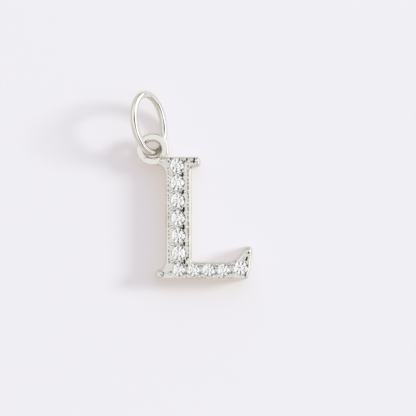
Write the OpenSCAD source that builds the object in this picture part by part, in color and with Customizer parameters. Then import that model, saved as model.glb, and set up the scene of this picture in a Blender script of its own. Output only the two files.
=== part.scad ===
// Initial pendant: a serif capital L set with eleven round brilliants,
// a bail loop soldered to its top left serif, and an oval jump ring.
// It lies on its back. Millimetres, +Y up the letter, +Z out of its face.

/* [Letter] */
// Height of the letter from its baseline to its top edge
letter_h = 10; // [9:0.1:13]
// Width of the stem at the back
stem_w = 2.16; // [2.05:0.01:2.6]
// Thickness from the back to the face
thickness = 1.6; // [1.5:0.05:2.4]
// Height of the foot
foot_h = 1.46; // [1.4:0.01:1.9]
// Reach of the foot from the stem's centre line to the outside of its tip
foot_reach = 6.07; // [5.9:0.01:7.5]
// How far the foot's end slopes in between its tip and the baseline
foot_slope = 0.47; // [0.3:0.01:0.6]
// Height of the swept-up tip above the baseline
tip_h = 2.73; // [2.5:0.01:3.2]
// Width of the tip at its top
tip_w = 0.65; // [0.6:0.01:0.9]
// Run of the sweep from the foot's top edge up to the tip
sweep_run = 0.86; // [0.7:0.01:1.1]
// Radius of the sweep's hollow
sweep_r = 1.3; // [0.8:0.05:1.5]
// Radius of the tip's round corners
tip_r = 0.36; // [0.3:0.01:0.38]
// Reach of the top serif on the right, from the stem's centre line
serif_right = 1.78; // [1.7:0.01:2.1]
// Reach of the top serif on the left, under the bail loop
serif_left = 1.82; // [1.75:0.01:2]
// Depth of the top serif at its right end
serif_h = 0.78; // [0.7:0.01:1]
// Depth of the top serif at its left end, under the bail loop
left_serif_h = 0.69; // [0.6:0.01:0.8]
// How much deeper the serif is where it meets the stem
serif_drop = 0.18; // [0.1:0.01:0.3]
// Radius of the hollow under the left serif
left_bracket_r = 0.85; // [0.5:0.05:1]
// Radius of the hollow under the right serif and inside the foot
right_bracket_r = 0.27; // [0.2:0.01:0.5]
// Height of the ball end at the bottom left
ball_h = 0.76; // [0.74:0.01:0.9]
// Reach of the ball end from the stem's centre line
ball_reach = 1.88; // [1.8:0.01:2.2]
// How far the ball end is lifted off the baseline
ball_lift = 0.1; // [0.05:0.01:0.2]
// Radius of the polished edge round the face
edge_r = 0.2; // [0.12:0.01:0.24]
// Draft of the walls between the back and the polished edge
wall_draft = 0.04; // [0.02:0.01:0.06]
// Bevel round the back
back_bevel = 0.07; // [0.04:0.01:0.12]

/* [Bail loop] */
// Outer diameter of the soldered loop
loop_od = 2.65; // [2.5:0.05:3]
// Diameter of the loop's hole
loop_id = 1.44; // [1.4:0.02:1.6]
// Thickness of the loop
loop_t = 0.5; // [0.4:0.02:0.52]
// Radius of the loop's rounded edges
loop_edge_r = 0.16; // [0.1:0.01:0.18]
// Height of the middle of the loop above the letter's back
loop_mid_z = 1.14; // [1.05:0.01:1.25]
// Distance of the loop's centre left of the stem's centre line
loop_left = 2.1; // [2:0.02:2.3]
// Height of the loop's centre above the letter's top edge
loop_rise = 0.6; // [0.5:0.02:0.7]

/* [Jump ring] */
// Diameter of the ring's wire
wire_d = 0.6; // [0.5:0.02:0.64]
// Outer length of the oval ring
ring_l = 5.55; // [5.3:0.05:6]
// Outer width of the oval ring
ring_w = 3.77; // [3.6:0.01:3.9]
// Angle between the ring's plane and the surface that the pendant lies on
ring_tilt = 46.5; // [44:0.5:50]
// Direction in which the tilted ring comes down, from +X
ring_swing = -5.4; // [-8:0.2:-2]
// Turn of the oval in its own plane
ring_roll = 28.5; // [24:0.5:32]
// How far the ring's lower end hangs below the centre of the loop's hole
ring_dip = 0.25; // [0.2:0.01:0.3]
// Distance of the ring's centre left of the centre of the loop's hole
ring_shift = 0.29; // [0.2:0.01:0.35]
// Clearance between the ring's lowest point and the surface below
ring_lift = 0.02; // [0.01:0.01:0.05]

/* [Stones] */
// Diameter of the stones in the stem and at the tip
stone_d = 1.2; // [1.1:0.01:1.26]
// Diameter of the stones at the corner and along the foot
small_stone_d = 1.05; // [0.95:0.01:1.08]
// Table of a stone, as a share of its diameter
table_share = 0.56; // [0.5:0.01:0.62]
// Slope of the crown's main facets
crown_angle = 34.5; // [30:0.5:36]
// Slope of the pavilion's main facets
pavilion_angle = 40.8; // [39:0.2:42]
// Thickness of the girdle, as a share of the diameter
girdle_share = 0.03; // [0.02:0.005:0.05]
// Depth of the girdle's middle below the letter's face
stone_sink = 0.1; // [0.06:0.01:0.14]
// Distance of the top stone's centre below the top edge
top_margin = 0.715; // [0.68:0.005:0.8]
// Distance of the tip stone's centre inside the tip's outside
tip_margin = 1; // [0.95:0.01:1.2]
// Height of the foot's row of stones above the baseline
foot_row_y = 0.81; // [0.78:0.01:0.9]
// Height of the tip's stone above the foot's row
tip_stone_rise = 0.16; // [0.1:0.01:0.25]
// Offset of the corner stone from the stem's centre line
corner_x = 0.05; // [0:0.01:0.1]
// Extra room left between the foot's row and the tip's stone
tip_room = 0.1; // [0:0.01:0.15]
// Lean of the stem's row of stones
row_lean = 1.1; // [0:0.1:1.5]

/* [Setting] */
// Clearance between a stone and its seat
seat_gap = 0.02; // [0.01:0.005:0.03]
// Diameter of the hole drilled through the back under each stone
drill_d = 0.5; // [0.4:0.02:0.6]
// Width of the channel cut along the rows between the stones
channel_w = 0.92; // [0.8:0.02:1]
// Depth of the channel
channel_depth = 0.12; // [0.08:0.01:0.16]
// Distance of the large grains from the row's centre line
grain_spread = 0.45; // [0.42:0.01:0.5]
// Largest radius of a large grain
grain_r = 0.19; // [0.14:0.01:0.2]
// Distance of the small grains from the row's centre line
small_grain_spread = 0.24; // [0.2:0.01:0.28]
// Largest radius of a small grain
small_grain_r = 0.11; // [0.08:0.01:0.12]
// Height of the grains above the letter's face
grain_proud = 0.06; // [0.03:0.01:0.1]
// Depth of the bright cut round each loose grain on the serifs and the tip
bright_cut = 0.06; // [0.04:0.01:0.1]

/* [Hidden] */
$fn = 48;

silver = "#cfcec8";
crystal = "#eef2f8";
stem_stones = 6;
foot_stones = 3;
arc_step = 15;
least_r = 0.03;
edge_steps = 4;
reach_out = 0.1;
clear_h = 1;
main_share = 0.24;
bright_spread = 1.4;
ball_rim = 0.06;
stone_turn = 37;
ring_steps = 64;
wire_sides = 14;
half_stem = stem_w / 2;
ball_r = ball_h / 2;

// The letter's outline, anticlockwise: each row is x, y and the corner's radius
outline = [
    [foot_reach - foot_slope, 0, 0.3],
    [foot_reach - 0.45 * foot_slope, 0.36 * tip_h, 1.5],
    [foot_reach, tip_h, tip_r],
    [foot_reach - tip_w, tip_h, tip_r],
    [foot_reach - tip_w - sweep_run, foot_h, sweep_r],
    [half_stem, foot_h, right_bracket_r],
    [half_stem, letter_h - serif_h - serif_drop, right_bracket_r],
    [serif_right, letter_h - serif_h, 0.28],
    [serif_right, letter_h, 0.36],
    [-serif_left, letter_h, 0.45],
    [-serif_left, letter_h - left_serif_h, 0.14],
    [-half_stem, letter_h - left_serif_h - serif_drop, left_bracket_r],
    [-half_stem, foot_h, 0.5],
    [-half_stem - 0.3, ball_lift + ball_h, 0.16],
    [-ball_reach, ball_lift + ball_h, ball_r - 0.01],
    [-ball_reach, ball_lift, ball_r - 0.01],
    [-half_stem + 0.15, 0, 1.5],
];

function unit(v) = v / norm(v);
function flat(v) = [v.x, v.y];
function left_of(a, b) = let (d = unit(b - a)) [-d.y, d.x];

// Corners are counted round the outline
corners = len(outline);
function vertex(i) = flat(outline[(i + corners) % corners]);
function normal_after(i) = left_of(vertex(i), vertex(i + 1));
function turn_at(i) =
    let (n1 = normal_after(i - 1), n2 = normal_after(i))
    atan2(cross(n1, n2), n1 * n2);
// A corner's radius is held to what its two edges have room for
function tangent_at(i) = outline[(i + corners) % corners][2] * abs(tan(turn_at(i) / 2));
function ease(i) = min(1, 0.96 * norm(vertex(i + 1) - vertex(i)) / (tangent_at(i) + tangent_at(i + 1)));
function radius_at(i) = outline[i][2] * min(ease(i - 1), ease(i));

// One corner of the outline moved inwards, as an arc of points
function corner(i, inset) =
    let (
        n1 = normal_after(i - 1),
        n2 = normal_after(i),
        miter = (n1 + n2) / (1 + n1 * n2),
        turn = turn_at(i),
        bend = turn > 0 ? 1 : -1,
        r = max(least_r, radius_at(i) - bend * inset),
        centre = vertex(i) + (inset + bend * r) * miter,
        first = atan2(-bend * n1.y, -bend * n1.x),
        steps = max(2, ceil(abs(turn) / arc_step))
    )
    [for (k = [0:steps]) centre + r * [cos(first + turn * k / steps), sin(first + turn * k / steps)]];
function inset_outline(inset) = [for (i = [0:corners - 1]) each corner(i, inset)];

// A closed band that follows the outline, its section given as [inset, z]
module outline_band(section) {
    rings = [for (s = section) [for (p = inset_outline(s[0])) [p.x, p.y, s[1]]]];
    n = len(rings[0]);
    m = len(section);
    polyhedron(
        points = [for (ring = rings) each ring],
        faces = [
            for (j = [0:m - 1], i = [0:n - 1])
                let (here = j * n, next = (j + 1) % m * n, up = (i + 1) % n)
                each [[here + i, here + up, next + up], [here + i, next + up, next + i]]
        ]
    );
}

// What the polish takes off round the face: a drafted wall, then a round
module edge_waste() {
    outline_band(concat(
        [[-reach_out, 4 * back_bevel], [0, 4 * back_bevel]],
        [for (k = [0:edge_steps]) let (a = 90 * k / edge_steps)
            [wall_draft + edge_r * (1 - cos(a)), thickness - edge_r * (1 - sin(a))]],
        [[wall_draft + edge_r, thickness + reach_out], [-reach_out, thickness + reach_out]]
    ));
}

module back_waste() {
    outline_band([
        [-reach_out, -reach_out],
        [back_bevel, -reach_out],
        [back_bevel, 0],
        [0, back_bevel],
        [-reach_out, back_bevel]
    ]);
}

// Stone rows: six down the stem, one at the corner, three along the foot, one at the tip
stem_gap = (letter_h - top_margin - foot_row_y - (small_stone_d + stone_d) / 2 - (stem_stones - 1) * stone_d)
    / stem_stones;
tip_stone_x = foot_reach - tip_margin;
foot_gap = (tip_stone_x - corner_x - foot_stones * small_stone_d - (small_stone_d + stone_d) / 2 - tip_room)
    / (foot_stones + 1);
stone_count = stem_stones + foot_stones + 2;

function stem_stone(k) =
    let (up = (small_stone_d + stone_d) / 2 + stem_gap + (stem_stones - 1 - k) * (stone_d + stem_gap))
    [corner_x - up * sin(row_lean), foot_row_y + up * cos(row_lean), stone_d];
function foot_stone(k) = [corner_x + k * (small_stone_d + foot_gap), foot_row_y, small_stone_d];
function stone_at(i) =
    i < stem_stones ? stem_stone(i)
    : i < stone_count - 1 ? foot_stone(i - stem_stones)
    : [tip_stone_x, foot_row_y + tip_stone_rise, stone_d];

girdle_z = thickness - stone_sink;

// A round brilliant: table, 8 stars, 8 bezels, 32 girdle facets, 8 mains and a culet
module brilliant(d) {
    r = d / 2;
    rt = table_share * r;
    girdle = girdle_share * d / 2;
    crown = (r - rt) * tan(crown_angle);
    pavilion = r * tan(pavilion_angle);
    rs = (rt + r) / 2;
    rp = main_share * r;
    half = cos(22.5);
    star_z = girdle + crown - (rs * half - rt) * tan(crown_angle);
    lower_z = -girdle - pavilion + rp * half * tan(pavilion_angle);
    at = function (radius, angle, z) [radius * cos(angle), radius * sin(angle), z];
    // Points in rings: the table's corners, the stars, both edges of the girdle, the lower halves
    points = concat(
        [for (k = [0:7]) at(rt, 45 * k, girdle + crown)],
        [for (k = [0:7]) at(rs, 45 * k + 22.5, star_z)],
        [for (k = [0:15]) at(r, 22.5 * k, girdle)],
        [for (k = [0:15]) at(r, 22.5 * k, -girdle)],
        [for (k = [0:7]) at(rp, 45 * k + 22.5, lower_z)],
        [[0, 0, -girdle - pavilion]]
    );
    stars = 8;
    upper = 16;
    under = 32;
    lowers = 48;
    culet = 56;
    faces = concat(
        [[for (k = [0:7]) 7 - k]],
        [for (k = [0:7]) [k, (k + 1) % 8, stars + k]],
        [for (k = [0:7]) [k, stars + k, upper + 2 * k, stars + (k + 7) % 8]],
        [for (k = [0:7]) each [
            [stars + k, upper + 2 * k + 1, upper + 2 * k],
            [stars + k, upper + (2 * k + 2) % 16, upper + 2 * k + 1]
        ]],
        [for (k = [0:15]) [upper + k, upper + (k + 1) % 16, under + (k + 1) % 16, under + k]],
        [for (k = [0:7]) each [
            [lowers + k, under + 2 * k, under + 2 * k + 1],
            [lowers + k, under + 2 * k + 1, under + (2 * k + 2) % 16]
        ]],
        [for (k = [0:7]) [culet, lowers + (k + 7) % 8, under + 2 * k, lowers + k]]
    );
    polyhedron(points = points, faces = faces);
}

// The cutter for one seat: a drilled hole, a bearing cone and the girdle's bore
module seat(d) {
    r = d / 2 + seat_gap;
    foot_z = girdle_z - girdle_share * d / 2 - seat_gap / cos(pavilion_angle);
    drill = drill_d / 2;
    rotate_extrude() polygon([
        [0, -reach_out],
        [drill, -reach_out],
        [drill, foot_z - (d / 2 - drill) * tan(pavilion_angle)],
        [r, foot_z + seat_gap * tan(pavilion_angle)],
        [r, thickness + clear_h],
        [0, thickness + clear_h],
    ]);
}

module channel(a, b) {
    run = flat(b) - flat(a);
    translate([a.x, a.y, thickness - channel_depth])
        rotate([0, 0, atan2(run.y, run.x)])
            translate([0, -channel_w / 2, 0]) cube([norm(run), channel_w, clear_h]);
}

// Room for a grain beside the stones
function room_beside(spot, s) = norm(spot - flat(s)) - s[2] / 2;
function room_at(spot) = min([for (i = [0:stone_count - 1]) room_beside(spot, stone_at(i))]) - 2 * seat_gap;

// A grain of metal raised from the floor of its cut, with a domed top
module grain(spot, wanted) {
    r = min(wanted, room_at(spot));
    root = channel_depth + reach_out;
    translate([spot.x, spot.y, thickness + grain_proud - r])
        rotate_extrude() {
            translate([0, -root]) square([r, root]);
            intersection() {
                circle(r = r);
                square(r);
            }
        }
}

// The four grains that hold two neighbouring stones between them
module gap_grains(a, b) {
    run = flat(b) - flat(a);
    along = unit(run);
    side = [-along.y, along.x];
    room = norm(run) - (a[2] + b[2]) / 2;
    middle = flat(a) + along * ((a[2] + room) / 2);
    for (way = [-1, 1]) {
        grain(middle + side * way * grain_spread, grain_r);
        grain(middle + side * way * small_grain_spread, small_grain_r);
    }
}

// Loose grains on the serifs, the corner and the tip: x, y and radius
serif_grain_y = letter_h - serif_h / 2 - 0.03;
tip_grain_x = foot_reach - tip_w / 2 - 0.06;
loose_grains = [
    [-serif_left + 0.41, serif_grain_y, 0.16],
    [-half_stem + 0.3, serif_grain_y + 0.08, 0.16],
    [half_stem - 0.42, serif_grain_y + 0.06, 0.16],
    [serif_right - 0.52, serif_grain_y + 0.05, 0.21],
    [-half_stem + 0.36, foot_row_y - 0.1, 0.15],
    [tip_grain_x, tip_h - 0.46, 0.2],
    [tip_grain_x - 0.16, tip_h - 0.98, 0.16],
    [foot_reach - foot_slope - 0.14, 0.32, 0.13],
];

module bail_loop() {
    r = loop_edge_r;
    inside = loop_id / 2;
    width = (loop_od - loop_id) / 2;
    translate([-loop_left, letter_h + loop_rise, loop_mid_z - loop_t / 2])
        rotate_extrude()
            translate([inside, 0]) {
                translate([0, r]) square([width, loop_t - 2 * r]);
                translate([r, 0]) square([width - 2 * r, loop_t]);
                for (x = [r, width - r], y = [r, loop_t - r]) translate([x, y]) circle(r = r);
            }
}

module letter_setting() {
    loop_x = -loop_left;
    loop_y = letter_h + loop_rise;
    color(silver) {
        difference() {
            union() {
                difference() {
                    linear_extrude(thickness) polygon(inset_outline(0));
                    edge_waste();
                    back_waste();
                    for (g = loose_grains)
                        translate([g.x, g.y, thickness - bright_cut])
                            cylinder(r = bright_spread * g[2], h = clear_h);
                }
                bail_loop();
            }
            translate([loop_x, loop_y, -clear_h]) cylinder(d = loop_id, h = thickness + 2 * clear_h);
            channel(stone_at(0), stone_at(stem_stones));
            channel(stone_at(stem_stones), stone_at(stone_count - 2));
            channel(stone_at(stone_count - 2), stone_at(stone_count - 1));
            for (i = [0:stone_count - 1]) translate(concat(flat(stone_at(i)), 0)) seat(stone_at(i)[2]);
        }
        for (i = [0:stone_count - 2]) gap_grains(stone_at(i), stone_at(i + 1));
        for (g = loose_grains) grain(flat(g), g[2]);
        translate([-ball_reach + ball_r, ball_lift + ball_r, thickness - ball_r + grain_proud])
            sphere(r = ball_r - ball_rim);
    }
}

module stone(i) {
    s = stone_at(i);
    color(crystal) translate([s.x, s.y, girdle_z]) rotate([0, 0, stone_turn * i]) brilliant(s[2]);
}

// The oval ring, its long axis along X before it is turned, tilted and swung
half_l = (ring_l - wire_d) / 2;
half_w = (ring_w - wire_d) / 2;

// The oval's long and short directions in the pendant's frame, and the wire's reach along an axis
function spin_z(a, v) = [v.x * cos(a) - v.y * sin(a), v.x * sin(a) + v.y * cos(a), v.z];
function tip_y(a, v) = [v.x * cos(a) + v.z * sin(a), v.y, -v.x * sin(a) + v.z * cos(a)];
function ring_way(v) = spin_z(ring_swing, tip_y(ring_tilt, spin_z(ring_roll + 90, v)));
long_way = ring_way([half_l, 0, 0]);
short_way = ring_way([0, half_w, 0]);
function wire_reach(axis) = norm([long_way[axis], short_way[axis]]);

ring_x = -loop_left - ring_shift;
ring_y = letter_h + loop_rise + wire_reach(1) - ring_dip;
ring_z = wire_reach(2) + wire_d / 2 + ring_lift;

// The wire, swept round the oval with a round section
module jump_ring() {
    rings = [for (i = [0:ring_steps - 1]) let (
        t = 360 * i / ring_steps,
        spot = [half_l * cos(t), half_w * sin(t)],
        out = unit([half_w * cos(t), half_l * sin(t)])
    ) [for (k = [0:wire_sides - 1]) let (a = 360 * k / wire_sides)
        [each (spot + out * wire_d / 2 * cos(a)), wire_d / 2 * sin(a)]]];
    color(silver)
        translate([ring_x, ring_y, ring_z])
            rotate([0, 0, ring_swing]) rotate([0, ring_tilt, 0]) rotate([0, 0, ring_roll + 90])
                polyhedron(
                    points = [for (ring = rings) each ring],
                    faces = [
                        for (i = [0:ring_steps - 1], k = [0:wire_sides - 1])
                            let (
                                here = i * wire_sides,
                                next = (i + 1) % ring_steps * wire_sides,
                                up = (k + 1) % wire_sides
                            )
                            each [[here + k, here + up, next + up], [here + k, next + up, next + k]]
                    ]
                );
}

// The whole piece is centred on the origin
left_end = ring_x - wire_reach(0) - wire_d / 2;
right_end = max([for (p = inset_outline(0)) p.x]);
top_end = ring_y + wire_reach(1) + wire_d / 2;
module placed() {
    translate([-(left_end + right_end) / 2, -top_end / 2, 0]) children();
}

placed() letter_setting();
placed() jump_ring();
for (i = [0:stone_count - 1])
    placed() stone(i);
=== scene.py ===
# A serif initial pendant in polished silver, grain-set with clear brilliants, on a pale surface
import math
import random
import bpy
from mathutils import Matrix, Vector


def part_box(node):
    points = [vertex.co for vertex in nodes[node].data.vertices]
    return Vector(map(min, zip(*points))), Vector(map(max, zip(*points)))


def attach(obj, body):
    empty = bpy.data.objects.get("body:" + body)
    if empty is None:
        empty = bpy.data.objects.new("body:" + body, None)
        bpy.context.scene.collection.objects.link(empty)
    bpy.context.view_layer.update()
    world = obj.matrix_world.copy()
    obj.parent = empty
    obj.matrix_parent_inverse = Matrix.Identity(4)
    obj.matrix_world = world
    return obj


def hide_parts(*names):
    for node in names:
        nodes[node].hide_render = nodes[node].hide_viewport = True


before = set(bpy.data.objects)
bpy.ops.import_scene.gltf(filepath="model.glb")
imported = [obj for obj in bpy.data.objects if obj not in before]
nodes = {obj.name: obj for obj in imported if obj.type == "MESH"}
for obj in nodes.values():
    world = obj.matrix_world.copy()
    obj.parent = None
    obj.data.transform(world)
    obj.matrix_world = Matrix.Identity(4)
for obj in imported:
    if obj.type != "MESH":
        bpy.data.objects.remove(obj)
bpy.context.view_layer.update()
scene = bpy.context.scene
mm = 0.001


# Plane and direction helpers

def unit(v):
    length = math.hypot(*v)
    return (v[0] / length, v[1] / length)


def onCircle(cx, cy, radius, a):
    return (cx + radius * math.cos(a), cy + radius * math.sin(a))


def fullTurn(steps):
    return [2 * math.pi * i / steps for i in range(steps)]


def toward(azimuth, elevation):
    a, e = math.radians(azimuth), math.radians(elevation)
    return Vector((math.cos(a) * math.cos(e), math.sin(a) * math.cos(e), math.sin(e)))


def ramp(value, low, high):  # eases from 0 at low to 1 at high
    t = min(1.0, max(0.0, (value - low) / (high - low)))
    return t * t * (3 - 2 * t)


def millimetres(corner):
    return [c / mm for c in corner]


# Mesh helpers: the letter and the ring are worked out in millimetres and shrunk to metres at the end

def addObject(name, data):
    made = bpy.data.objects.new(name, data)
    scene.collection.objects.link(made)
    return made


def newPiece(name, points, faces, materials=(), finish=0):
    mesh = bpy.data.meshes.new(name)
    mesh.from_pydata(points, [], faces)
    for material in materials:
        mesh.materials.append(material)
    for face in mesh.polygons:
        face.use_smooth = True
        face.material_index = finish
    return addObject(name, mesh)


def bandFaces(rings, count, closed=False):
    faces = []
    for j in range(rings if closed else rings - 1):
        below, above = j * count, (j + 1) % rings * count
        for i in range(count):
            k = (i + 1) % count
            faces.append((below + i, below + k, above + k, above + i))
    return faces


def cappedFaces(rings, count):
    last = (rings - 1) * count
    caps = [tuple(reversed(range(count))), tuple(range(last, last + count))]
    return bandFaces(rings, count) + caps


def turned(profile, sides, centre=(0, 0, 0), tilt=None):  # from (radius, height) pairs, bottom first
    points = []
    for r, z in profile:
        for a in fullTurn(sides):
            p = Vector((*onCircle(0, 0, r, a), z))
            points.append(Vector(centre) + (tilt @ p if tilt else p))
    return points, cappedFaces(len(profile), sides)


def domeProfile(r, steps):
    return [onCircle(0, 0, r, math.pi / 2 * k / steps) for k in range(steps)]


def smoothSolid(piece, sharpAngle, weight):
    mesh = piece.data
    for face in mesh.polygons:
        face.use_smooth = True
    mesh.set_sharp_from_angle(angle=math.radians(sharpAngle))
    evened = piece.modifiers.new("evened", "WEIGHTED_NORMAL")
    evened.keep_sharp = True
    evened.weight = weight


def carve(piece, tools):  # runs through (operation, tool) pairs and keeps the result
    for operation, tool in tools:
        step = piece.modifiers.new("step", "BOOLEAN")
        step.operation = operation
        step.solver = "MANIFOLD"
        step.object = tool
    ready = piece.evaluated_get(bpy.context.evaluated_depsgraph_get())
    mesh = bpy.data.meshes.new_from_object(ready)
    piece.modifiers.clear()
    piece.data = mesh
    for _, tool in tools:
        bpy.data.objects.remove(tool)


def intoFrame(piece):
    piece.data.transform(Matrix.Scale(mm, 4))
    piece.data.update()


# The silver's finishes, all from one hand polish, and two darker copies of it that paint shade into
# the cuts, the nicks, the seats and the loop's hole

def newMaterial(name):
    material = bpy.data.materials.new(name)
    material.use_nodes = True
    return material, material.node_tree.nodes["Principled BSDF"]


def newGroup(name, inputs, outputs):
    group = bpy.data.node_groups.new(name, "ShaderNodeTree")
    for socket, kind, value in inputs:
        made = group.interface.new_socket(name=socket, in_out="INPUT", socket_type=kind)
        if value is not None:
            made.default_value = value
    for socket, kind in outputs:
        group.interface.new_socket(name=socket, in_out="OUTPUT", socket_type=kind)
    return group, group.nodes.new("NodeGroupInput"), group.nodes.new("NodeGroupOutput")


def addNode(tree, kind, settings=None, values=None):
    node = tree.nodes.new(kind)
    for key, value in (settings or {}).items():
        setattr(node, key, value)
    for key, value in (values or {}).items():
        node.inputs[key].default_value = value
    return node


def colourMix(tree):  # its factor, its two colours and its result
    node = addNode(tree, "ShaderNodeMix", {"data_type": "RGBA"})
    return node.inputs["Factor"], node.inputs[6], node.inputs[7], node.outputs[2]


handPolish = {
    "waves": {"Scale": 900.0, "Detail": 2.0},
    "grit": {"Scale": 5200.0, "Detail": 3.0, "Roughness": 0.6},
    "patches": {"Scale": 420.0, "Detail": 4.0},
    "gritHeight": 0.16,
    "gritRange": {"From Min": 0.35, "From Max": 0.65},
    "stainRange": {"From Min": 0.4, "From Max": 0.75},
}


def handPolishGroup():  # soft waves, fine scratches and a tarnish mask
    number = "NodeSocketFloat"
    inputs = [
        ("Vector", "NodeSocketVector", None),
        ("Wave Size", number, 1.0),
        ("Roughness Low", number, 0.08),
        ("Roughness High", number, 0.2),
    ]
    outputs = [("Height", number), ("Roughness", number), ("Tarnish", number)]
    group, start, end = newGroup("handPolish", inputs, outputs)
    scaled = addNode(group, "ShaderNodeVectorMath", {"operation": "SCALE"})
    waves = addNode(group, "ShaderNodeTexNoise", values=handPolish["waves"])
    grit = addNode(group, "ShaderNodeTexNoise", values=handPolish["grit"])
    patches = addNode(group, "ShaderNodeTexNoise", values=handPolish["patches"])
    height = addNode(group, "ShaderNodeMath", {"operation": "MULTIPLY_ADD"}, {
        1: handPolish["gritHeight"]})
    spread = addNode(group, "ShaderNodeMapRange", values=handPolish["gritRange"])
    stain = addNode(group, "ShaderNodeMapRange", values=handPolish["stainRange"])
    link = group.links.new
    link(start.outputs["Vector"], scaled.inputs[0])
    link(start.outputs["Wave Size"], scaled.inputs["Scale"])
    for texture in (waves, grit, patches):
        link(scaled.outputs["Vector"], texture.inputs["Vector"])
    link(grit.outputs["Fac"], height.inputs[0])
    link(waves.outputs["Fac"], height.inputs[2])
    link(height.outputs["Value"], end.inputs["Height"])
    link(grit.outputs["Fac"], spread.inputs["Value"])
    link(start.outputs["Roughness Low"], spread.inputs["To Min"])
    link(start.outputs["Roughness High"], spread.inputs["To Max"])
    link(spread.outputs["Result"], end.inputs["Roughness"])
    link(patches.outputs["Fac"], stain.inputs["Value"])
    link(stain.outputs["Result"], end.inputs["Tarnish"])
    return group


def metal(name, look, polish):
    material, shader = newMaterial(name)
    tree = material.node_tree
    shader.inputs["Metallic"].default_value = 1.0
    place = addNode(tree, "ShaderNodeTexCoord")
    low, high = look["roughness"]
    finish = addNode(tree, "ShaderNodeGroup", {"node_tree": polish}, {
        "Wave Size": look["waveSize"], "Roughness Low": low, "Roughness High": high})
    factor, clean, stained, colour = colourMix(tree)
    clean.default_value = (*look["colour"], 1)
    stained.default_value = (*look["stained"], 1)
    bump = addNode(tree, "ShaderNodeBump", values={
        "Strength": look["bump"], "Distance": look["relief"] * mm})
    link = tree.links.new
    link(place.outputs["Object"], finish.inputs["Vector"])
    link(finish.outputs["Tarnish"], factor)
    link(colour, shader.inputs["Base Color"])
    link(finish.outputs["Roughness"], shader.inputs["Roughness"])
    link(finish.outputs["Height"], bump.inputs["Height"])
    link(bump.outputs["Normal"], shader.inputs["Normal"])
    return material


finishes = {
    "satin": {
        "colour": (0.80, 0.80, 0.755),
        "stained": (0.70, 0.69, 0.635),
        "roughness": (0.17, 0.3),
        "waveSize": 1.5,
        "bump": 0.5,
        "relief": 0.012,
    },
    "polished": {
        "colour": (0.84, 0.84, 0.795),
        "stained": (0.78, 0.775, 0.72),
        "roughness": (0.04, 0.1),
        "waveSize": 1.0,
        "bump": 0.35,
        "relief": 0.01,
    },
    # painted shade: a brownish, darker silver for the small cuts, the edge nicks and the loop's hole
    # wall
    "shaded": {
        "colour": (0.6, 0.55, 0.48),
        "stained": (0.48, 0.44, 0.38),
        "roughness": (0.2, 0.35),
        "waveSize": 2.0,
        "bump": 0.3,
        "relief": 0.01,
    },
    # painted deep shade: a near-black silver for the stones' seats and the long graver cuts
    "recess": {
        "colour": (0.12, 0.115, 0.1),
        "stained": (0.05, 0.045, 0.04),
        "roughness": (0.25, 0.45),
        "waveSize": 2.0,
        "bump": 0.3,
        "relief": 0.01,
    },
}
polish = handPolishGroup()
silver = {name: metal(name + "Silver", look, polish) for name, look in finishes.items()}
finishOrder = list(silver)
letterFinishes = list(silver.values())
print("finishes made")


# The letter, in millimetres from its stem's axis and its baseline
letter = {
    "height": 10.0,
    "stemWidth": 2.16,
    "thickness": 1.6,
    "footHeight": 1.46,
    "footReach": 6.07,
    "footSlope": 0.47,
    "tipHeight": 2.73,
    "tipWidth": 0.65,
    "bendShare": 0.45,
    "bendHeight": 0.36,
    "sweepRun": 0.86,
    "serifRight": 1.78,
    "serifLeft": 1.82,
    "serifDepth": 0.78,
    "leftSerifDepth": 0.69,
    "serifDrop": 0.18,
    "ballHeight": 0.76,
    "ballReach": 1.88,
    "ballLift": 0.1,
    "ballFlat": 0.01,
    "ballNeck": 0.3,
    "ballFoot": 0.15,
    "edgeRadius": 0.2,
    "wallDraft": 0.04,
    "wallFoot": 0.3,
    "backBevel": 0.07,
    "bevelRise": 0.02,
    "leastRadius": 0.03,
    "arcStep": 5,
    "edgeSteps": 9,
    "cornerX": 0.05,
    "stemStones": 6,
    "sharpAngle": 32,
    "normalWeight": 90,
}
# How far each corner of its outline is rounded
radii = {
    "footEnd": 0.3,
    "tipBend": 1.5,
    "tip": 0.36,
    "sweep": 1.3,
    "crook": 0.27,
    "rightNeck": 0.27,
    "rightBelow": 0.28,
    "rightAbove": 0.36,
    "leftAbove": 0.45,
    "leftBelow": 0.13,
    "leftNeck": 0.8,
    "stemFoot": 0.5,
    "ballNeck": 0.16,
    "ballFoot": 1.5,
}


def letterOutline():  # anticlockwise, as x, y and the corner's radius
    half = letter["stemWidth"] / 2
    top, foot, reach = letter["height"], letter["footHeight"], letter["footReach"]
    tipLeft, tipTop = reach - letter["tipWidth"], letter["tipHeight"]
    right, left = letter["serifRight"], -letter["serifLeft"]
    rightBelow, leftBelow = top - letter["serifDepth"], top - letter["leftSerifDepth"]
    ballEnd, ballLow = -letter["ballReach"], letter["ballLift"]
    ballTop = ballLow + letter["ballHeight"]
    ballRadius = letter["ballHeight"] / 2 - letter["ballFlat"]
    bend = (reach - letter["bendShare"] * letter["footSlope"], letter["bendHeight"] * tipTop)
    return [
        (reach - letter["footSlope"], 0, radii["footEnd"]),
        (*bend, radii["tipBend"]),
        (reach, tipTop, radii["tip"]),
        (tipLeft, tipTop, radii["tip"]),
        (tipLeft - letter["sweepRun"], foot, radii["sweep"]),
        (half, foot, radii["crook"]),
        (half, rightBelow - letter["serifDrop"], radii["rightNeck"]),
        (right, rightBelow, radii["rightBelow"]),
        (right, top, radii["rightAbove"]),
        (left, top, radii["leftAbove"]),
        (left, leftBelow, radii["leftBelow"]),
        (-half, leftBelow - letter["serifDrop"], radii["leftNeck"]),
        (-half, foot, radii["stemFoot"]),
        (-half - letter["ballNeck"], ballTop, radii["ballNeck"]),
        (ballEnd, ballTop, ballRadius),
        (ballEnd, ballLow, ballRadius),
        (-half + letter["ballFoot"], 0, radii["ballFoot"]),
    ]


def inwardNormal(a, b):
    d = unit((b[0] - a[0], b[1] - a[1]))
    return (-d[1], d[0])


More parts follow.
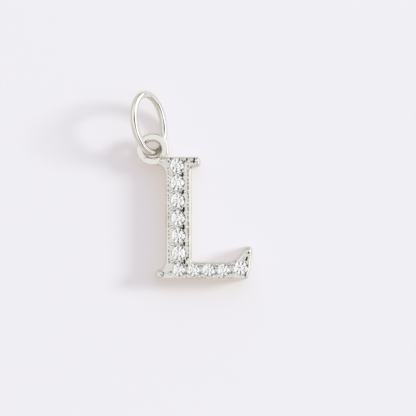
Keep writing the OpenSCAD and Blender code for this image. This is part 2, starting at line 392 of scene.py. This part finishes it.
def insetOutline(rows, inset):
    points = []
    for i, (x, y, radius) in enumerate(rows):
        n1 = inwardNormal(rows[i - 1], rows[i])
        n2 = inwardNormal(rows[i], rows[(i + 1) % len(rows)])
        dot = n1[0] * n2[0] + n1[1] * n2[1]
        turn = math.atan2(n1[0] * n2[1] - n1[1] * n2[0], dot)
        bend = 1 if turn > 0 else -1
        r = max(letter["leastRadius"], radius - bend * inset)
        along = (inset + bend * r) / (1 + dot)
        cx, cy = x + along * (n1[0] + n2[0]), y + along * (n1[1] + n2[1])
        first = math.atan2(-bend * n1[1], -bend * n1[0])
        steps = max(3, math.ceil(abs(math.degrees(turn)) / letter["arcStep"]))
        for k in range(steps + 1):
            points.append(onCircle(cx, cy, r, first + turn * k / steps))
    return points


# Where the letter lies: its stem's axis from the corner's stone, its baseline from its own box
cornerLow, cornerHigh = map(millimetres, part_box("stone_07"))
stemX = (cornerLow[0] + cornerHigh[0]) / 2 - letter["cornerX"]
baseY = millimetres(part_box("letter_setting")[0])[1]


def spot(x, y):
    return (x + stemX, y + baseY)


def letterBody():
    rows = [(*spot(x, y), radius) for x, y, radius in letterOutline()]
    edge, bevel, top = letter["edgeRadius"], letter["backBevel"], letter["thickness"]
    section = [(bevel, 0), (bevel / 2, letter["bevelRise"]), (0, bevel), (0, letter["wallFoot"])]
    for k in range(letter["edgeSteps"] + 1):
        a = math.pi / 2 * k / letter["edgeSteps"]
        inset = letter["wallDraft"] + edge * (1 - math.cos(a))
        section.append((inset, top - edge * (1 - math.sin(a))))
    points = []
    for inset, z in section:
        outline = insetOutline(rows, inset)
        points += [(x, y, z) for x, y in outline]
    return points, cappedFaces(len(section), len(outline))


# The bail loop, its face lifted to the letter's where the two are soldered
loop = {
    "outer": 2.65,
    "inner": 1.44,
    "thickness": 0.5,
    "edgeRadius": 0.16,
    "middle": 1.14,
    "left": 2.1,
    "rise": 0.6,
    "sides": 96,
    "edgeSteps": 5,
    "taper": 0.07,
    "solderFrom": -3.1,
    "solderTo": -1.84,
    "solderTop": 9.98,
    "solderFade": 0.16,
    "solderSink": 0.006,
    "clearance": 0.03,
    "clearFrom": -1,
    "clearTo": 3,
}
loopCentre = spot(-loop["left"], letter["height"] + loop["rise"])


def solderLift(x, y):
    across = ramp(x - stemX, loop["solderFrom"], loop["solderTo"])
    below = 1 - ramp(y - baseY, loop["solderTop"] - loop["solderFade"], loop["solderTop"])
    return across * below


def bailLoopPiece():
    inner, outer = loop["inner"] / 2, loop["outer"] / 2
    low, high = loop["middle"] - loop["thickness"] / 2, loop["middle"] + loop["thickness"] / 2
    r = loop["edgeRadius"]
    roundings = [
        (outer - r, low + r, -90, r),
        (outer - r, high - r, 0, r),
        (inner + r, high - r, 90, r),
        (inner - loop["taper"] + r / 2, low + r / 2, 180, r / 2),
    ]
    profile = []
    for x, z, first, radius in roundings:
        for k in range(loop["edgeSteps"] + 1):
            a = math.radians(first + 90 * k / loop["edgeSteps"])
            profile.append(onCircle(x, z, radius, a))
    fullLift = letter["thickness"] - loop["solderSink"] - high
    points = []
    for a in fullTurn(loop["sides"]):
        for radius, z in profile:
            x, y = onCircle(*loopCentre, radius, a)
            share = min(1.0, max(0.0, (z - loop["middle"]) / (loop["thickness"] / 2 - r)))
            points.append((x, y, z + fullLift * share * solderLift(x, y)))
    piece = toolPiece((points, bandFaces(loop["sides"], len(profile), True)), "polished")
    wallFrom = 3 * loop["edgeSteps"] + 1  # the hole's wall gets the darker brownish silver: partly the patina of a hollow, partly painted shade
    for face in piece.data.polygons:
        if face.index % len(profile) >= wallFrom:
            face.material_index = finishOrder.index("shaded")
    return piece


def loopHole():
    r = loop["inner"] / 2 + loop["clearance"]
    return turned([(r, loop["clearFrom"]), (r, loop["clearTo"])], loop["sides"], (*loopCentre, 0))


# The stones' seats, cut through the letter, and the channel that links them
setting = {
    "gap": 0.005,
    "drill": 0.5,
    "sink": 0.1,
    "girdleShare": 0.03,
    "girdleRoom": 0.03,
    "pavilionAngle": 40.8,
    "flare": 0.015,
    "channelTop": 0.72,
    "channelFloor": 0.56,
    "channelDepth": 0.16,
    "sides": 56,
    "under": 0.3,
    "over": 0.01,
    "clear": 1,
}
stoneNames = sorted(name for name in nodes if name.startswith("stone_"))


def stoneAt(name):  # where the stone is, and how wide
    low, high = map(millimetres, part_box(name))
    width = max(high[0] - low[0], high[1] - low[1])
    return ((low[0] + high[0]) / 2, (low[1] + high[1]) / 2, width)


stones = [stoneAt(name) for name in stoneNames]


def seatCutter(x, y, width):
    r = width / 2 + setting["gap"]
    drill, flare = setting["drill"] / 2, setting["flare"]
    slope = math.tan(math.radians(setting["pavilionAngle"]))
    top = letter["thickness"]
    girdle = top - setting["sink"] - setting["girdleShare"] * width / 2
    profile = [
        (drill, -setting["under"]),
        (drill, girdle - (r - drill) * slope - setting["girdleRoom"]),
        (r, girdle - setting["girdleRoom"]),
        (r, top - flare),
        (r + flare, top + setting["over"]),
        (r + flare, top + setting["clear"]),
    ]
    return turned(profile, setting["sides"], (x, y, 0))


def channelCutter(a, b):
    dx, dy = unit((b[0] - a[0], b[1] - a[1]))
    top = letter["thickness"]
    bottom, edge, clear = top - setting["channelDepth"], top + setting["over"], top + setting["clear"]
    narrow, wide = setting["channelFloor"] / 2, setting["channelTop"] / 2
    section = [
        (-narrow, bottom), (narrow, bottom), (wide, edge),
        (wide, clear), (-wide, clear), (-wide, edge),
    ]
    points = [(p[0] - dy * s, p[1] + dx * s, z) for p in (a, b) for s, z in section]
    return points, cappedFaces(2, len(section))


# The grains that hold the stones, and the loose ones on the serifs, the corner and the tip
grains = {
    "proud": 0.11,
    "root": 0.3,
    "sides": 20,
    "rings": 6,
    "crown": 0.06,
    "least": 0.04,
    "lean": 7.0,
    "room": 0.03,
    "sizeSpread": (0.94, 1.0),
    "proudSpread": (0.8, 1.1),
    # In each gap: across the row, along it, radius
    "stem": [
        (-0.55, 0.02, 0.16), (-0.33, -0.05, 0.12), (-0.12, 0.05, 0.1),
        (0.13, 0.02, 0.09), (0.33, 0.05, 0.12), (0.58, 0.0, 0.15),
    ],
    "foot": [(-0.42, 0.0, 0.13), (-0.13, 0.0, 0.08), (0.13, 0.0, 0.08), (0.42, 0.0, 0.13)],
    # On the letter: x, y, radius
    "loose": [
        (-1.41, 9.64, 0.17), (-0.84, 9.74, 0.16), (0.53, 9.76, 0.13), (0.75, 9.62, 0.14),
        (1.04, 9.72, 0.13), (1.42, 9.66, 0.16), (-0.72, 0.55, 0.17),
        (5.66, 2.32, 0.28), (5.36, 1.72, 0.14), (5.62, 1.6, 0.12), (5.5, 0.4, 0.13),
    ],
}
# The graver's cuts beside the grains
cuts = {
    "depth": 0.5,
    "sides": 18,
    "rings": 8,
    "darkFrom": 0.1,
    "sizeSpread": (0.85, 1.15),
    "acrossDrift": 0.02,
    "alongDrift": 0.04,
    "turnDrift": 6,
    # In each gap: across the row, along it, half width, half length, turn in degrees
    "stem": [
        (0.45, 0.0, 0.095, 0.23, -4), (0.2, -0.09, 0.07, 0.09, 0),
        (-0.24, -0.1, 0.075, 0.085, 0), (0.02, 0.06, 0.055, 0.07, 30),
    ],
    "foot": [(-0.25, 0.03, 0.06, 0.07, 0), (0.28, -0.02, 0.045, 0.06, 0)],
    # On the letter: x, y and the same
    "loose": [
        (-0.61, 9.82, 0.06, 0.1, -15), (-0.8, 9.58, 0.07, 0.07, 0), (0.5, 9.58, 0.085, 0.07, 0),
        (0.68, 9.75, 0.07, 0.12, 0), (1.05, 9.56, 0.06, 0.06, 0), (1.24, 9.58, 0.1, 0.11, 0),
        (1.28, 9.78, 0.07, 0.13, 0), (-0.35, 1.4, 0.05, 0.06, 30), (0.22, 1.6, 0.045, 0.06, -20),
        (0.68, 1.76, 0.06, 0.14, -15), (0.7, 1.17, 0.06, 0.14, 0), (0.64, 0.58, 0.08, 0.07, 0),
        (-0.6, 0.64, 0.075, 0.09, 0), (5.68, 2.22, 0.06, 0.1, -15), (5.52, 1.72, 0.075, 0.21, -20),
        (5.4, 0.4, 0.07, 0.11, 15), (4.62, 1.5, 0.05, 0.07, 0),
    ],
}
# The small nicks that the graver left along the bright edges
nicks = {
    "depth": 0.08,
    "drift": 0.02,
    "widthSpread": (0.7, 1.2),
    "lengthSpread": (1.0, 2.2),
    "stepSpread": (0.6, 1.6),
}
# Where they run: from, to, mean spacing, half width
rims = {
    "stemLeft": ((-0.84, 9.1), (-0.76, 1.2), 0.27, 0.05),
    "stemRight": ((0.76, 9.3), (0.8, 1.7), 0.24, 0.055),
    "footBelow": ((-0.6, 0.2), (4.5, 0.2), 0.4, 0.034),
    "footAbove": ((1.25, 1.33), (4.3, 1.37), 0.45, 0.034),
}
dice = random.Random(11)  # the same hand each time


def drift(amount):
    return dice.uniform(-amount, amount)


def roomAt(x, y):  # how far the nearest stone is
    return min(math.hypot(x - sx, y - sy) - width / 2 for sx, sy, width in stones) - grains["room"]


def grain(x, y, wanted):
    r = max(grains["least"], min(wanted, roomAt(x, y))) * dice.uniform(*grains["sizeSpread"])
    profile = [(r, -grains["root"])] + domeProfile(r, grains["rings"]) + [(r * grains["crown"], r)]
    lean = Matrix.Rotation(math.radians(drift(grains["lean"])), 3, "X")
    lean = Matrix.Rotation(dice.uniform(0, 2 * math.pi), 3, "Z") @ lean
    height = letter["thickness"] + grains["proud"] * dice.uniform(*grains["proudSpread"]) - r
    return turned(profile, grains["sides"], (x, y, height), lean)


def cutPaintedShade(halfLength):  # the long cuts get the near-black painted shade inside, the short ones the lighter brownish painted shade
    return "recess" if halfLength >= cuts["darkFrom"] else "shaded"


def graverCut(x, y, halfWidth, halfLength, turn, depth=cuts["depth"]):
    angles = [math.pi * k / cuts["rings"] for k in range(1, cuts["rings"])]
    points, faces = turned([(math.sin(t), -math.cos(t)) for t in angles], cuts["sides"])
    a = math.radians(turn)
    shaped = []
    for p in points:
        across, along = p[0] * halfWidth, p[1] * halfLength
        px = x + across * math.cos(a) - along * math.sin(a)
        py = y + across * math.sin(a) + along * math.cos(a)
        shaped.append((px, py, letter["thickness"] + p[2] * depth))
    return shaped, faces


def rimNicks():
    made = []
    for start, end, spacing, halfWidth in rims.values():
        reach = (end[0] - start[0], end[1] - start[1])
        way, length = unit(reach), math.hypot(*reach)
        turn = math.degrees(math.atan2(way[1], way[0])) - 90
        run = dice.uniform(0, spacing)
        while run < length:
            offset = drift(nicks["drift"])
            x = start[0] + way[0] * run - way[1] * offset
            y = start[1] + way[1] * run + way[0] * offset
            wide = halfWidth * dice.uniform(*nicks["widthSpread"])
            long = wide * dice.uniform(*nicks["lengthSpread"])
            made.append(graverCut(*spot(x, y), wide, long, turn, nicks["depth"]))
            run += spacing * dice.uniform(*nicks["stepSpread"])
    return made


# The ball that ends the lower serif, with a groove turned round it
ball = {
    "x": -1.49,
    "y": 0.49,
    "radius": 0.25,
    "proud": 0.03,
    "root": 0.3,
    "steps": 8,
    "groove": 0.275,
    "grooveDepth": 0.028,
    "grooveSides": 8,
    "sides": 32,
}


def serifBall():
    x, y = spot(ball["x"], ball["y"])
    top, r = letter["thickness"], ball["radius"]
    angles = fullTurn(ball["grooveSides"])
    section = [onCircle(ball["groove"], top, ball["grooveDepth"], a) for a in angles]
    angles = fullTurn(ball["sides"])
    points = [(*onCircle(x, y, radius, a), z) for a in angles for radius, z in section]
    groove = (points, bandFaces(ball["sides"], len(section), True))
    dome = [(r, -ball["root"])] + domeProfile(r, ball["steps"])
    button = turned(dome, ball["sides"], (x, y, top + ball["proud"] - r))
    return [("DIFFERENCE", groove), ("UNION", button)]


def rowFrame(a, b):  # the middle of the gap between two stones, across their row and along it
    reach = (b[0] - a[0], b[1] - a[1])
    along = unit(reach)
    room = math.hypot(*reach) - (a[2] + b[2]) / 2
    shift = a[2] / 2 + room / 2
    return (a[0] + along[0] * shift, a[1] + along[1] * shift), (-along[1], along[0]), along


def gapWork(a, b, part):
    middle, side, along = rowFrame(a, b)
    base = math.degrees(math.atan2(along[1], along[0])) + 90

    def at(across, forward):
        return [m + s * across - f * forward for m, s, f in zip(middle, side, along)]

    raised = [grain(*at(across, forward), r) for across, forward, r in grains[part]]
    cut = []
    for across, forward, halfWidth, halfLength, turn in cuts[part]:
        size = dice.uniform(*cuts["sizeSpread"])
        place = at(across + drift(cuts["acrossDrift"]), forward + drift(cuts["alongDrift"]))
        way = base + turn + drift(cuts["turnDrift"])
        solid = graverCut(*place, halfWidth * size, halfLength * size, way)
        cut.append((solid, cutPaintedShade(halfLength)))
    return raised, cut


def toolPiece(solid, finish="satin"):
    return newPiece("tool", *solid, letterFinishes, finishOrder.index(finish))


def makeLetter():
    body = newPiece("letterSetting", *letterBody(), letterFinishes)
    tools = [("DIFFERENCE", toolPiece(loopHole())), ("UNION", bailLoopPiece())]
    tools += [("DIFFERENCE", toolPiece(channelCutter(a, b))) for a, b in zip(stones, stones[1:])]
    # the seats' walls are painted with near-black shade, which the stones show as dark facets
    tools += [("DIFFERENCE", toolPiece(seatCutter(*stone), "recess")) for stone in stones]
    tools += [(operation, toolPiece(solid)) for operation, solid in serifBall()]
    raised, cut = [], []
    for k, (a, b) in enumerate(zip(stones, stones[1:])):
        some, others = gapWork(a, b, "stem" if k < letter["stemStones"] else "foot")
        raised += some
        cut += others
    raised += [grain(*spot(x, y), r) for x, y, r in grains["loose"]]
    cut += [(graverCut(*spot(x, y), *shape), cutPaintedShade(shape[1])) for x, y, *shape in cuts["loose"]]
    # the edge nicks are painted with the brownish shade inside
    tools += [("DIFFERENCE", toolPiece(solid, "shaded")) for solid in rimNicks()]
    tools += [("UNION", toolPiece(solid, "polished")) for solid in raised]
    tools += [("DIFFERENCE", toolPiece(solid, finish)) for solid, finish in cut]
    carve(body, tools)
    smoothSolid(body, letter["sharpAngle"], letter["normalWeight"])
    intoFrame(body)
    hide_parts("letter_setting")
    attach(body, "root")
    return body


letterPiece = makeLetter()
print("letter set:", len(letterPiece.data.polygons), "faces")


# The jump ring, a round wire bent to an oval
ring = {
    "wire": 0.6,
    "length": 5.55,
    "width": 3.77,
    "tilt": 46.5,
    "swing": -5.4,
    "roll": 28.5,
    "turns": 168,
    "sides": 28,
}


def makeRing():
    low, high = map(millimetres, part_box("jump_ring"))
    centre = Vector([(a + b) / 2 for a, b in zip(low, high)])
    way = Matrix.Rotation(math.radians(ring["swing"]), 3, "Z")
    way = way @ Matrix.Rotation(math.radians(ring["tilt"]), 3, "Y")
    way = way @ Matrix.Rotation(math.radians(ring["roll"] + 90), 3, "Z")
    a, b, r = (ring["length"] - ring["wire"]) / 2, (ring["width"] - ring["wire"]) / 2, ring["wire"] / 2
    points = []
    for t in fullTurn(ring["turns"]):
        out = unit((b * math.cos(t), a * math.sin(t)))
        for s in fullTurn(ring["sides"]):
            x = a * math.cos(t) + out[0] * r * math.cos(s)
            y = b * math.sin(t) + out[1] * r * math.cos(s)
            points.append(centre + way @ Vector((x, y, r * math.sin(s))))
    faces = bandFaces(ring["turns"], ring["sides"], True)
    piece = newPiece("jumpRing", points, faces, [silver["polished"]])
    intoFrame(piece)
    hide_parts("jump_ring")
    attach(piece, "root")


makeRing()
print("jump ring bent")


# The stones keep their cut shape and get a clear crystal
stoneLook = {"colour": (0.94, 0.95, 0.96), "index": 2.0, "roughness": 0.0}
# How each sits in its seat, in degrees: turned about its own axis, leaned, and the way it leans
stoneSeats = {
    "stone_01": (8, 1.6, 40),
    "stone_02": (34, 1.2, 190),
    "stone_03": (14, 1.4, 35),
    "stone_04": (36, 1.7, 255),
    "stone_05": (44, 1.9, 235),
    "stone_06": (36, 1.8, 250),
    "stone_07": (19, 2.0, 215),
    "stone_08": (32, 2.6, 95),
    "stone_09": (19, 2.4, 85),
    "stone_10": (43, 2.3, 210),
    "stone_11": (0, 2.0, 0),
}


def crystalMaterial():
    material, shader = newMaterial("crystal")
    shader.inputs["Base Color"].default_value = (*stoneLook["colour"], 1)
    shader.inputs["Transmission Weight"].default_value = 1.0
    shader.inputs["IOR"].default_value = stoneLook["index"]
    shader.inputs["Roughness"].default_value = stoneLook["roughness"]
    return material


def setStone(name, crystal):
    low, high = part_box(name)
    centre = Matrix.Translation((low + high) / 2)
    turn, lean, leanWay = stoneSeats[name]
    upright = Matrix.Rotation(math.radians(turn), 4, "Z")
    leaned = Matrix.Rotation(math.radians(lean), 4, toward(leanWay + 90, 0))
    mesh = nodes[name].data.copy()
    mesh.transform(nodes[name].matrix_world)
    mesh.transform(centre @ leaned @ upright @ centre.inverted())
    mesh.materials.clear()
    mesh.materials.append(crystal)
    for face in mesh.polygons:
        face.use_smooth = False
    stone = addObject(name.replace("_", ""), mesh)
    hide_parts(name)
    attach(stone, "root")


crystal = crystalMaterial()
for name in stoneNames:
    setStone(name, crystal)
print("stones set:", len(stoneNames))


# The pale surface below, a lit acrylic sheet
floor = {
    "size": 1.2,
    "colour": (0.2, 0.2, 0.2),
    "glow": (0.575, 0.492, 0.435),
    "roughness": 0.8,
    "drop": 0.00001,
}


def makeFloor():
    half = floor["size"] / 2
    corners = [(-half, -half), (half, -half), (half, half), (-half, half)]
    piece = newPiece("paleSurface", [(x, y, -floor["drop"]) for x, y in corners], [(0, 1, 2, 3)])
    material, shader = newMaterial("paleSurface")
    shader.inputs["Base Color"].default_value = (*floor["colour"], 1)
    shader.inputs["Emission Color"].default_value = (*floor["glow"], 1)
    shader.inputs["Emission Strength"].default_value = 1.0
    shader.inputs["Roughness"].default_value = floor["roughness"]
    shader.inputs["Specular IOR Level"].default_value = 0.0
    piece.data.materials.append(material)


makeFloor()


# A soft room with white and black cards round the table, and a key from the right
room = {
    "zenith": (0.96, 0.945, 0.95),
    "stoneZenith": (1.06, 1.045, 1.05),
    "horizon": (0.62, 0.545, 0.51),
    "open": (0.2, 0.8),
    "cardFront": (0.0, 0.05),
    "backdrop": (0.88, 0.865, 0.905),
    "window": (62, 30),
    "windowLight": (1.67, 2.28, 3.47),
    "windowShade": (0.0, 0.0, 0.0),
    "windowFade": (0.0, 0.95),
}
# Each card: its middle's azimuth and elevation, its turn, half width and half height as sines,
# soft edge, light
cards = {
    "blackStrip": (-38, 50, 0, 0.15, 0.46, 0.04, (0.02, 0.018, 0.015)),
    "northStrip": (78, 46, -40, 0.08, 0.45, 0.05, (0.16, 0.15, 0.14)),
    "rightBox": (9, 28, 0, 0.5, 0.32, 0.1, (1.48, 1.47, 1.48)),
    "leftBox": (193, 44, 0, 0.25, 0.12, 0.12, (1.12, 1.1, 1.1)),
}
# What shows through the stones: the same cards, and a dark gap overhead that draws their facets
stoneCards = {**cards, "overheadGap": (-8, 70, 0, 0.28, 0.2, 0.04, (0.03, 0.028, 0.025))}
key = {
    "from": (1.0, 0.26),
    "elevation": 24.3,
    "distance": 2.0,
    "width": 0.5,
    "height": 0.456,
    "watts": 86.0,
    "colour": (0.87, 0.98, 1.0),
}


def makeRoom():
    world = bpy.data.worlds.new("room")
    scene.world = world
    world.use_nodes = True
    tree = world.node_tree
    link = tree.links.new
    place = addNode(tree, "ShaderNodeTexCoord").outputs["Generated"]
    split = addNode(tree, "ShaderNodeSeparateXYZ")
    link(place, split.inputs[0])

    def smoothRange(source, low, high, toLow=0.0, toHigh=1.0):
        node = addNode(tree, "ShaderNodeMapRange", {"interpolation_type": "SMOOTHSTEP"}, {
            "From Min": low, "From Max": high, "To Min": toLow, "To Max": toHigh})
        link(source, node.inputs["Value"])
        return node.outputs["Result"]

    def along(direction):
        node = addNode(tree, "ShaderNodeVectorMath", {"operation": "DOT_PRODUCT"}, {1: direction})
        link(place, node.inputs[0])
        return node.outputs["Value"]

    def within(direction, half, soft):
        size = addNode(tree, "ShaderNodeMath", {"operation": "ABSOLUTE"})
        link(along(direction), size.inputs[0])
        return smoothRange(size.outputs["Value"], half, half + soft, 1.0, 0.0)

    def both(a, b):
        node = addNode(tree, "ShaderNodeMath", {"operation": "MULTIPLY"})
        link(a, node.inputs[0])
        link(b, node.inputs[1])
        return node.outputs["Value"]

    def mixed(factor, a, b):
        amount, first, second, result = colourMix(tree)
        link(factor, amount)
        for socket, value in ((first, a), (second, b)):
            if isinstance(value, tuple):
                socket.default_value = (*value, 1)
            else:
                link(value, socket)
        return result

    def roomWith(someCards, zenith):
        light = mixed(smoothRange(split.outputs["Z"], *room["open"]), room["horizon"], zenith)
        for azimuth, elevation, turn, halfWidth, halfHeight, soft, colour in someCards.values():
            middle = toward(azimuth, elevation)
            tilt = Matrix.Rotation(math.radians(turn), 3, middle)
            across = tilt @ toward(azimuth + 90, 0)
            up = tilt @ toward(azimuth + 180, 90 - elevation)
            shape = both(within(across, halfWidth, soft), within(up, halfHeight, soft))
            front = smoothRange(along(middle), *room["cardFront"])
            light = mixed(both(shape, front), light, colour)
        return light

    seen = addNode(tree, "ShaderNodeLightPath").outputs
    insideStones = roomWith(stoneCards, room["stoneZenith"])
    light = mixed(seen["Is Transmission Ray"], roomWith(cards, room["zenith"]), insideStones)
    # A cool window lights the surface
    window = smoothRange(along(toward(*room["window"])), *room["windowFade"])
    onSurface = mixed(window, room["windowShade"], room["windowLight"])
    light = mixed(seen["Is Diffuse Ray"], light, onSurface)
    light = mixed(seen["Is Camera Ray"], light, room["backdrop"])
    link(light, tree.nodes["Background"].inputs["Color"])


def makeKey():
    light = bpy.data.lights.new("key", "AREA")
    light.energy = key["watts"]
    light.shape = "RECTANGLE"
    light.size = key["width"]
    light.size_y = key["height"]
    light.color = key["colour"]
    lamp = addObject("key", light)
    flat = unit(key["from"])
    up = math.radians(key["elevation"])
    way = Vector((flat[0] * math.cos(up), flat[1] * math.cos(up), math.sin(up)))
    lamp.location = way * key["distance"]
    lamp.rotation_euler = way.to_track_quat("Z", "Y").to_euler()
    lamp.visible_glossy = False  # its card in the room stands for it in the reflections


makeRoom()
makeKey()
print("lights set")


# The camera looks straight down
view = {
    "centre": (1.3266, -1.8328),
    "frameWidth": 33.684,
    "faceHeight": 1.6,
    "distance": 250.0,
    "sensor": 36.0,
    "clip": (0.001, 10.0),
}
# Enough bounces for the light to cross the stones
bounces = {"max_bounces": 24, "transmission_bounces": 20, "glossy_bounces": 12}


def makeCamera():
    data = bpy.data.cameras.new("camera")
    data.sensor_width = view["sensor"]
    data.lens = view["sensor"] * view["distance"] / view["frameWidth"]
    data.clip_start, data.clip_end = view["clip"]
    camera = addObject("camera", data)
    x, y = view["centre"]
    camera.location = (x * mm, y * mm, (view["distance"] + view["faceHeight"]) * mm)
    bpy.context.scene.camera = camera


makeCamera()
scene.view_settings.view_transform = "Standard"
for name, count in bounces.items():
    setattr(scene.cycles, name, count)
print("camera set")
